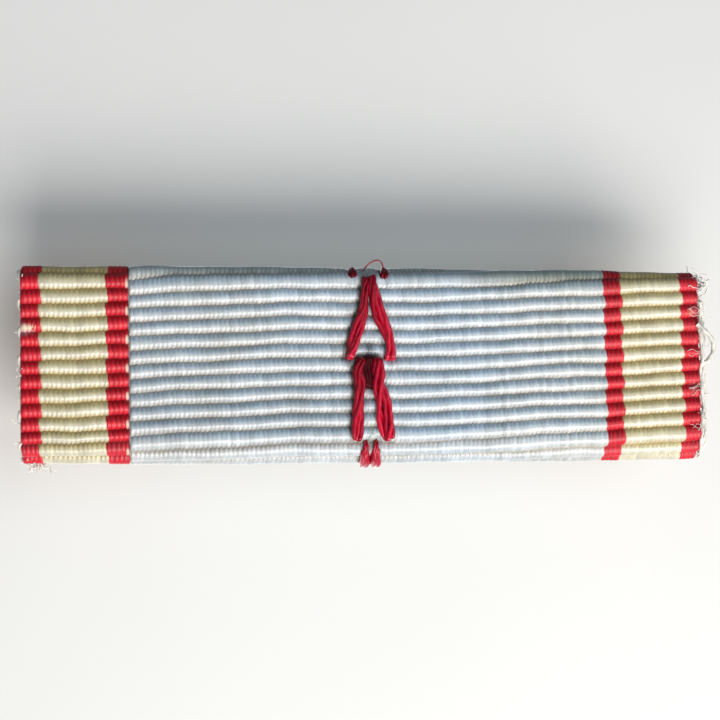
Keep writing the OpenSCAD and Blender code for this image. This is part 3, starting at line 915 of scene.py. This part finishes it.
def makeFelt():
    rng = np.random.default_rng(5)
    low, high = nodeBox("padding_felt")
    low, high = low + felt["inset"], high - felt["inset"]
    halfZ = (high[2] - low[2]) / 2

    # outline of the section: rounded front corners, square back ones
    def half(radius):
        turned = math.acos(max(0.0, 1 - (high[1] - low[1]) / radius))
        angles = np.linspace(0, turned, felt["arcPoints"])
        arc = [(low[1] + radius * (1 - math.cos(a)), halfZ - radius + radius * math.sin(a)) for a in angles]
        return arc + [(high[1], arc[-1][1])] if turned == quarter else arc
    up, down = (half(wrap["padRadius"][side]) for side in (1, -1))
    section = np.array(up + [(y, -z) for y, z in reversed(down)])
    closed = np.vstack([section, section[:1]])
    length = distances(closed)
    t = np.linspace(0, length[-1], felt["around"], endpoint=False)
    ring = np.stack([np.interp(t, length, closed[:, n]) for n in (0, 1)], -1)
    xs = np.linspace(low[0], high[0], felt["columns"])
    pull = 1 - felt["waist"] * (1 - np.cos((xs / high[0]) * quarter))
    count = len(ring)
    points = np.stack([
        np.broadcast_to(xs[:, None], (len(xs), count)),
        np.broadcast_to(ring[:, 0], (len(xs), count)),
        ring[None, :, 1] * pull[:, None],
    ], -1)
    points = points + rng.normal(0, felt["rough"], points.shape)
    points[:, :, 1] = np.clip(points[:, :, 1], low[1] - felt["inset"] / 2, high[1])

    # each end face has points of its own, so its edge stays crisp
    faces, start = [gridQuads(len(xs), count, 0, True)], len(xs) * count
    shells, tris = [points.reshape(-1, 3)], []
    rows = len(felt["endRings"])
    for end, side in ((points[0], 1), (points[-1], -1)):
        middle = end.mean(0)
        rings = np.array([middle + (end - middle) * share for share in felt["endRings"]])
        rings = rings + rng.normal(0, 1, rings.shape) * felt["endRough"]
        rings[0] = end
        faces.append(gridQuads(rows, count, start, True)[:, ::side])
        last, centre = start + (rows - 1) * count, start + rows * count
        tris += [(last + n, last + (n + 1) % count, centre)[::side] for n in range(count)]
        shells += [rings.reshape(-1, 3), middle[None]]
        start = centre + 1
    return np.vstack(shells), np.vstack(faces), np.array(tris)


def feltFinish():
    wool = Finish("padFelt", Roughness=0.95, Specular_IOR_Level=0.2, Sheen_Weight=0.35, Sheen_Roughness=0.6)
    place = wool.place()
    clouds = wool.noise(place, 900.0, 5.0, 0.7)
    hairs = wool.noise(wool.stretched(place, (1.0, 3.0, 2.2)), 5200.0, 3.0, 0.7)
    deep = tuple(c * 0.62 for c in felt["colour"])
    colour = wool.ramp(clouds * 0.5 + hairs * 0.5, [(0.3, deep), (0.62, felt["colour"])])
    rough = 0.85 + 0.12 * clouds
    return wool.surface(Base_Color=colour, Roughness=rough, Normal=wool.bump(hairs, 0.8, 0.08))


feltPiece = makePiece("felt_pad", *makeFelt(), feltFinish())
dress(feltPiece, "felt", "padding_felt")
sum(wrapLength.values()) * mm
print("felt laid")


# loose threads: weft loops at the selvages, fuzz, bits of lint and a stray end

weft = {
    "loops": [(-1, 0.05, 0.085), (1, 0.2, 0.075)],  # side, reach and radius of the loops
    "ribs": range(-8, 8, 2),  # those with a loop
    "root": 0.09,  # how far inside the selvage a loop begins
    "half": 0.36,  # half its height, in ribs
    "vary": (0.7, 1.3),  # range of the reach
    "raised": 0.18,
    "heave": 0.05,
    "cords": {  # wavy threads down the right selvage, the pairs a first value and a step to the next
        "count": 3,
        "top": (3.3, -0.5),
        "bottom": -4.8,
        "out": (0.04, 0.09),
        "raised": (0.36, -0.09),
        "radius": 0.08,
        "sway": [(0.05, 2.3, 1.9), (0.03, 5.1, 1.0)],
        "heave": [(0.05, 3.7, 2.3)],
        "uneven": [(0.02, 4.3, 1.0)],
    },
    "looseLoop": [(17.25, -4.45, 2.15), (17.65, -4.55, 1.75), (18.02, -4.5, 1.3), (18.1, -4.4, 0.7),
                  (17.8, -4.3, 0.2), (17.45, -4.2, 0.05)],
    "looseRadius": 0.12,
    "colour": (0.8, 0.77, 0.7),
}
fuzz = {
    "radius": 0.026,
    "colour": (0.92, 0.90, 0.84),
    "blush": (0.66, 0.2, 0.2),  # what shows through fibres on the red edge
    # tufts: count and place, then ranges of the fibres' start, heading, radius and length
    # and in the heading, up is a mean and a spread
    "right": {"count": 80, "root": 0.03, "top": 4.9, "tall": 9.6, "crowd": 1.25, "raised": (0.1, 0.4),
              "out": (0.05, 0.5), "back": (-0.1, 0.4), "up": (0, 1), "thick": (0.35, 0.9),
              "long": (0.3, 0.9), "bend": 0.25, "sides": 6},
    "corner": {"count": 10, "root": 0.02, "along": (3.2, 4.8), "raised": (0.05, 0.3), "out": (0.4, 0.9),
               "back": (0.0, 0.3), "up": (0.3, 0.7), "thick": (0.9, 2.2), "long": (0.6, 1.3), "bend": 0.3,
               "sides": 6},
    "left": {"count": 22, "root": 0.03, "along": [(-0.8, 0.3), (-4.8, 4.8)], "raised": (0.05, 0.25),
             "out": (-0.6, -0.1), "back": (0, 0.4), "up": (0, 0.8), "long": (0.25, 0.6), "bend": 0.4,
             "sides": 5},
    # fibres that lie on the red edge, from these heights
    "caught": {"from": [2.95, 2.75, 2.5, 0.75, 0.55, -1.05, -1.2, -1.3, -3.1, -3.25], "root": 0.05,
               "long": (0.4, 0.7), "rise": (-0.25, 0.25), "sway": (0.07, 6), "raised": 0.47,
               "heave": (0.03, 9), "thick": (0.4, 0.75), "shade": 0.5},
    # a tuft under the left end of the bottom edge, whose headings are means and spreads but for the last
    "lint": {"count": 26, "x": (-17.2, -16.4), "under": (4.9, 5.5), "raised": 0.4, "out": (0.3, 0.7),
             "back": (0, 0.35), "down": (-1, -0.2), "long": (0.5, 1.3), "bend": 0.5, "sides": 5},
}
stray = {
    "path": [(-0.37, -4.0, 4.80), (-0.22, -4.25, 5.02), (-0.06, -4.35, 5.17), (0.18, -4.4, 5.29),
             (0.38, -4.4, 5.31), (0.55, -4.3, 5.2), (0.68, -4.1, 4.95)],
    "radius": 0.036,
    "shade": 0.36,
}


def cottonFinish(name, colour):
    cotton = Finish(name, Roughness=0.75, Specular_IOR_Level=0.3, Sheen_Weight=0.2)
    clouds = cotton.noise(cotton.place(), 2600.0, 3.0)
    deep = tuple(c * 0.72 for c in colour)
    tone = cotton.ramp(clouds, [(0.32, deep), (0.6, colour)])
    tone = cotton.mix(cotton.attribute("shade"), rgb(*fuzz["blush"]), tone)
    return cotton.surface(Base_Color=tone, Roughness=0.65 + 0.2 * clouds)


weftLook = cottonFinish("weftCotton", weft["colour"])
fuzzLook = cottonFinish("selvageFuzz", fuzz["colour"])


def makeWeftLoops():
    rng = np.random.default_rng(21)
    rib, root = ribbon["ribPitch"], weft["root"]
    ends = {-1: (leftEnd, ribbon["furrowLeft"][0][1] - rib), 1: (rightEnd, ribbon["furrowRight"][-1][1])}
    t = np.linspace(0, np.pi, 15)
    tubes = []
    for side, reachOut, radius in weft["loops"]:
        edge, furrow = ends[side]
        for n in weft["ribs"]:
            reach = reachOut * rng.uniform(*weft["vary"])
            along = (n + 0.5) * rib + furrow + rib * (0.5 - weft["half"] * np.cos(t))
            x = edge + side * ((reach + root) * np.sin(t) - root) - ribbon["lean"] * along
            raised = weft["raised"] + weft["heave"] * np.sin(t) * rng.uniform(-1, 1)
            tubes.append(tube(clothPlace(x, along, raised), radius, sides=10, ply=0.1, turns=2.2))
    cords = weft["cords"]
    for n in range(cords["count"]):
        top, out, raised = (cords[key][0] + n * cords[key][1] for key in ("top", "out", "raised"))
        along = np.linspace(top, cords["bottom"], 160)
        x = rightEnd + out + ripple(cords["sway"], along, n) - ribbon["lean"] * along
        path = clothPlace(x, along, raised + ripple(cords["heave"], along, n))
        radius = cords["radius"] + ripple(cords["uneven"], along, n)
        tubes.append(tube(path, radius, sides=8, ply=0.15, turns=1.5))
    path = smoothPath(weft["looseLoop"], 60)
    tubes.append(tube(path, weft["looseRadius"], sides=10, ply=0.16, turns=2.0))
    dress(joinTubes("weft_loops", tubes, weftLook), "ribbon_cream")


def curl(rng, start, heading, length, bend, count=16):  # a fibre that wanders from its start
    points = [np.array(start, float)]
    heading = np.array(heading, float)
    for n in range(count):
        heading = heading + rng.normal(0, bend, 3)
        heading /= np.linalg.norm(heading)
        points.append(points[-1] + heading * length / count)
    return smoothPath(points, count * 2)


def fibre(rng, x, along, tuft):
    start = clothPlace(x, along, rng.uniform(*tuft["raised"]))
    heading = (rng.uniform(*tuft["out"]), rng.uniform(*tuft["back"]), rng.normal(*tuft["up"]))
    radius = fuzz["radius"] * (rng.uniform(*tuft["thick"]) if "thick" in tuft else 1)
    return tube(curl(rng, start, heading, rng.uniform(*tuft["long"]), tuft["bend"]), radius, tuft["sides"])


def makeFuzz():
    rng = np.random.default_rng(31)
    tubes = []
    tuft = fuzz["right"]
    for n in range(tuft["count"]):  # along the right selvage, thicker near its top
        along = tuft["top"] - tuft["tall"] * rng.random() ** tuft["crowd"]
        tubes.append(fibre(rng, rightEnd - tuft["root"], along, tuft))
    tuft = fuzz["corner"]
    for n in range(tuft["count"]):  # a tangle at its top
        tubes.append(fibre(rng, rightEnd - tuft["root"], rng.uniform(*tuft["along"]), tuft))
    tuft = fuzz["left"]
    for n in range(tuft["count"]):  # a thinner row at the left selvage, half of it in one tuft
        tubes.append(fibre(rng, leftEnd + tuft["root"], rng.uniform(*tuft["along"][n % 2]), tuft))
    shades = [1.0] * len(tubes)
    caught = fuzz["caught"]
    t = np.linspace(0, 1, 30)
    for height in caught["from"]:
        x = rightEnd - caught["root"] - rng.uniform(*caught["long"]) * t
        rise = rng.uniform(*caught["rise"])
        sway, rate = caught["sway"]
        along = height + rise * t + sway * np.sin(rate * t + rng.uniform(0, 6))
        heave, rate = caught["heave"]
        path = clothPlace(x, along, caught["raised"] + heave * np.sin(rate * t))
        tubes.append(tube(path, fuzz["radius"] * rng.uniform(*caught["thick"]), 6))
        shades.append(caught["shade"])
    dress(joinTubes("selvage_fuzz", tubes, fuzzLook, shades), "ribbon_cream")


def makeLint():
    rng = np.random.default_rng(41)
    lint = fuzz["lint"]
    tubes = []
    for n in range(lint["count"]):
        start = clothPlace(rng.uniform(*lint["x"]), -rng.uniform(*lint["under"]), lint["raised"])
        heading = (rng.normal(*lint["out"]), rng.normal(*lint["back"]), rng.uniform(*lint["down"]))
        path = curl(rng, start, heading, rng.uniform(*lint["long"]), lint["bend"])
        tubes.append(tube(path, fuzz["radius"], lint["sides"]))
    dress(joinTubes("lint", tubes, fuzzLook), "ribbon_cream")


makeWeftLoops()
makeFuzz()
makeLint()
strayTube = tube(smoothPath(stray["path"], 60), stray["radius"], sides=8, ply=0.1, turns=3.0)
dress(joinTubes("stray_thread", [strayTube], flossLook, [stray["shade"]]), "red_thread")
print("loose threads added")


# metal parts keep their CAD shapes and get their finishes

def brassFinish(name, clean, dark, wear):
    brass = Finish(name, Metallic=1.0, Roughness=0.35)
    place = brass.place()
    clouds = brass.noise(place, 260.0, 6.0, 0.65)
    fine = brass.noise(place, 2400.0, 4.0, 0.6)
    grain = brass.noise(brass.stretched(place, (1.0, 16.0, 16.0)), 900.0, 3.0)
    edges = brass.grey(brass.add("ShaderNodeNewGeometry", {}, {}, "Pointiness"), 0.5, 0.56)
    tarnish = brass.grey(clouds * 0.7 + fine * 0.3, 0.42, 0.62) * (1 - edges * wear)
    colour = brass.mix(tarnish, rgb(*clean), rgb(*dark))
    pits = brass.grey(fine, 0.62, 0.72)
    colour = brass.mix(pits * 0.5, colour, rgb(0.12, 0.075, 0.035))
    rough = 0.24 + 0.26 * tarnish + 0.12 * grain
    height = grain * 0.5 + fine * 0.5
    return brass.surface(Base_Color=colour, Roughness=rough, Normal=brass.bump(height, 0.18, 0.02))


def steelFinish(name, clean, dark, scale):
    steel = Finish(name, Metallic=1.0, Roughness=0.25)
    place = steel.place()
    clouds = steel.noise(place, 420.0, 5.0, 0.6)
    lines = steel.noise(steel.stretched(place, scale), 1500.0, 3.0)
    rust = steel.grey(steel.noise(place, 1300.0, 6.0, 0.7), 0.6, 0.72)
    colour = steel.mix(steel.grey(clouds, 0.35, 0.7), rgb(*clean), rgb(*dark))
    colour = steel.mix(rust * 0.55, colour, rgb(0.2, 0.12, 0.07))
    rough = 0.2 + 0.18 * clouds + 0.12 * lines + 0.2 * rust
    return steel.surface(Base_Color=colour, Roughness=rough, Normal=steel.bump(lines, 0.15, 0.02))


metalLooks = {
    "sheet": brassFinish("brassSheet", (0.74, 0.56, 0.27), (0.42, 0.28, 0.12), 0.7),
    "fittings": brassFinish("brassFittings", (0.80, 0.60, 0.29), (0.46, 0.30, 0.13), 0.9),
    "pin": steelFinish("pinSteel", (0.62, 0.61, 0.59), (0.42, 0.41, 0.39), (16.0, 1.0, 1.0)),
    "rivet": steelFinish("rivetSteel", (0.60, 0.58, 0.55), (0.36, 0.34, 0.31), (6.0, 6.0, 1.0)),
    "lock": steelFinish("nickelLock", (0.68, 0.65, 0.58), (0.46, 0.43, 0.36), (1.0, 8.0, 8.0)),
}
metal = {  # finish, and radius of the rounded edges
    "carrier_plate": ("sheet", 0.06),
    "hinge_bracket": ("fittings", 0.05),
    "catch_housing": ("fittings", 0.05),
    "pin_wire": ("pin", 0.03),
    "hinge_rivet": ("rivet", 0.05),
    "catch_lock": ("lock", 0.04),
}
sharpAngle = 38  # edges that turn more are rounded
for name, (look, radius) in metal.items():
    part = nodes[name]
    part.data.materials.clear()
    part.data.materials.append(metalLooks[look])
    weld = part.modifiers.new("weld", "WELD")
    weld.merge_threshold = 1e-7
    bevel = part.modifiers.new("edges", "BEVEL")
    bevel.width = radius * mm
    bevel.segments = 3
    bevel.limit_method = "ANGLE"
    bevel.angle_limit = math.radians(sharpAngle)
    bevel.harden_normals = True

solder = {
    "radius": 0.15,
    "corner": 0.6,
    "swell": 0.3,
    "waves": (1.9, 4.7),  # of the swelling, along the bead
    "sunk": 0.01,
    "clean": (0.62, 0.60, 0.56),
    "dark": (0.36, 0.34, 0.30),
}


def makeSolder(name, around, look):  # a bead of solder round a base on the carrier's back
    rng = np.random.default_rng(len(name))
    low, high = nodeBox(around)
    middle, half = (low + high) / 2, (high - low) / 2
    angle = np.linspace(0, 2 * np.pi, 160)
    corner = solder["corner"]
    x = middle[0] + (half[0] - corner) * np.sign(np.cos(angle)) + corner * np.cos(angle)
    z = middle[2] + (half[2] - corner) * np.sign(np.sin(angle)) + corner * np.sin(angle)
    path = np.stack([x, np.full(len(x), low[1] - solder["sunk"]), z], -1)
    far = distances(path)
    even = np.linspace(0, far[-1], 150)
    path = np.stack([np.interp(even, far, path[:, n]) for n in range(3)], -1)
    long, short = solder["waves"]
    swell = 1 + solder["swell"] * (np.sin(even * long + rng.uniform(0, 6)) + np.sin(even * short)) / 2
    dress(joinTubes(name, [tube(path, solder["radius"] * swell, 12)], look), "brass_fittings")


solderLook = steelFinish("softSolder", solder["clean"], solder["dark"], (1.0, 1.0, 1.0))
makeSolder("hinge_solder", "hinge_bracket", solderLook)
makeSolder("catch_solder", "catch_housing", solderLook)
print("metal finished")


# the bar lies on a pale table, whose back side lets the other views through

stage = {"pale": (0.76, 0.76, 0.75), "half": 600.0, "gap": 0.05}


def makeStage():
    back = max(nodeBox(n)[1][1] for n in nodes)
    top = Finish("paleTable", Roughness=0.9, Specular_IOR_Level=0.1)
    tone = top.noise(top.place(), 60.0, 2.0)
    shade = tuple(c * 0.985 for c in stage["pale"])
    top.surface(Base_Color=top.ramp(tone, [(0.3, shade), (0.7, stage["pale"])]))
    clear = top.add("ShaderNodeBsdfTransparent")
    backSide = top.add("ShaderNodeNewGeometry", {}, {}, "Backfacing")
    shaders = {0: backSide, 1: Wire(top, top.shader.outputs[0]), 2: clear}
    both = top.add("ShaderNodeMixShader", {}, shaders)
    top.feed(top.tree.nodes["Material Output"].inputs["Surface"], both)
    half = stage["half"]
    y = back + stage["gap"]
    corners = [(-half, y, -half), (half, y, -half), (half, y, half), (-half, y, half)]
    plane = makePiece("pale_table", corners, [(0, 1, 2, 3)], [], top.material)
    plane.visible_shadow = False
    plane.visible_diffuse = False
    plane.visible_glossy = False


makeStage()


# soft light from below the bar's front, a little from its right; distances and sizes in metres

lights = {
    "key": {"from": (0.25, -0.65, -0.72), "far": 0.175, "size": (0.17, 0.1), "watts": 0.43,
            "tint": (1.0, 0.97, 0.925)},
    "fill": {"from": (0.5, -0.85, 0.1), "far": 0.25, "size": (0.2, 0.2), "watts": 0.205,
             "tint": (0.92, 0.97, 1.0)},
    "behind": {"from": (-0.35, 0.93, -0.14), "far": 0.6, "size": (1.0, 1.0), "watts": 5.6,
               "tint": (1.0, 0.99, 0.97)},
}
lightAim = (0, -0.003, 0)
# the room is darker overhead, the metal mirrors a brighter one behind, and the camera sees a pale one
sky = {
    "pale": (0.85, 0.93, 1.03),
    "light": 0.2,
    "mirrored": 0.34,
    "behind": 0.65,
    "drop": 0.45,
    "shown": (0.93, 0.93, 0.92),
}


def makeLights():
    for name, lamp in lights.items():
        data = bpy.data.lights.new(name, "AREA")
        data.shape = "RECTANGLE"
        data.size, data.size_y = lamp["size"]
        data.energy = lamp["watts"]
        data.color = lamp["tint"]
        item = bpy.data.objects.new(name, data)
        scene.collection.objects.link(item)
        away = Vector(lamp["from"]).normalized()
        item.location = away * lamp["far"] + Vector(lightAim)
        item.rotation_euler = (-away).to_track_quat("-Z", "Y").to_euler()
        item.visible_camera = False


def makeRoom():
    room = Room("studio")
    scene.world = room.material
    way = room.add("ShaderNodeTexCoord", output="Generated")
    height = room.add("ShaderNodeSeparateXYZ", {}, {0: way}, "Z")
    depth = room.add("ShaderNodeSeparateXYZ", {}, {0: way}, "Y")
    mirrored = room.add("ShaderNodeLightPath", output="Is Glossy Ray")
    shown = room.add("ShaderNodeLightPath", output="Is Camera Ray")
    bright = sky["light"] + mirrored * (sky["mirrored"] * (1 + sky["behind"] * depth) - sky["light"])
    level = (1 - sky["drop"] * height) * bright
    colour = room.mix(shown, rgb(*sky["pale"]), rgb(*sky["shown"]))
    room.surface(Color=colour, Strength=level + shown * (1 - level))


makeLights()
makeRoom()
scene.view_settings.view_transform = "Standard"
print("stage and lights set")
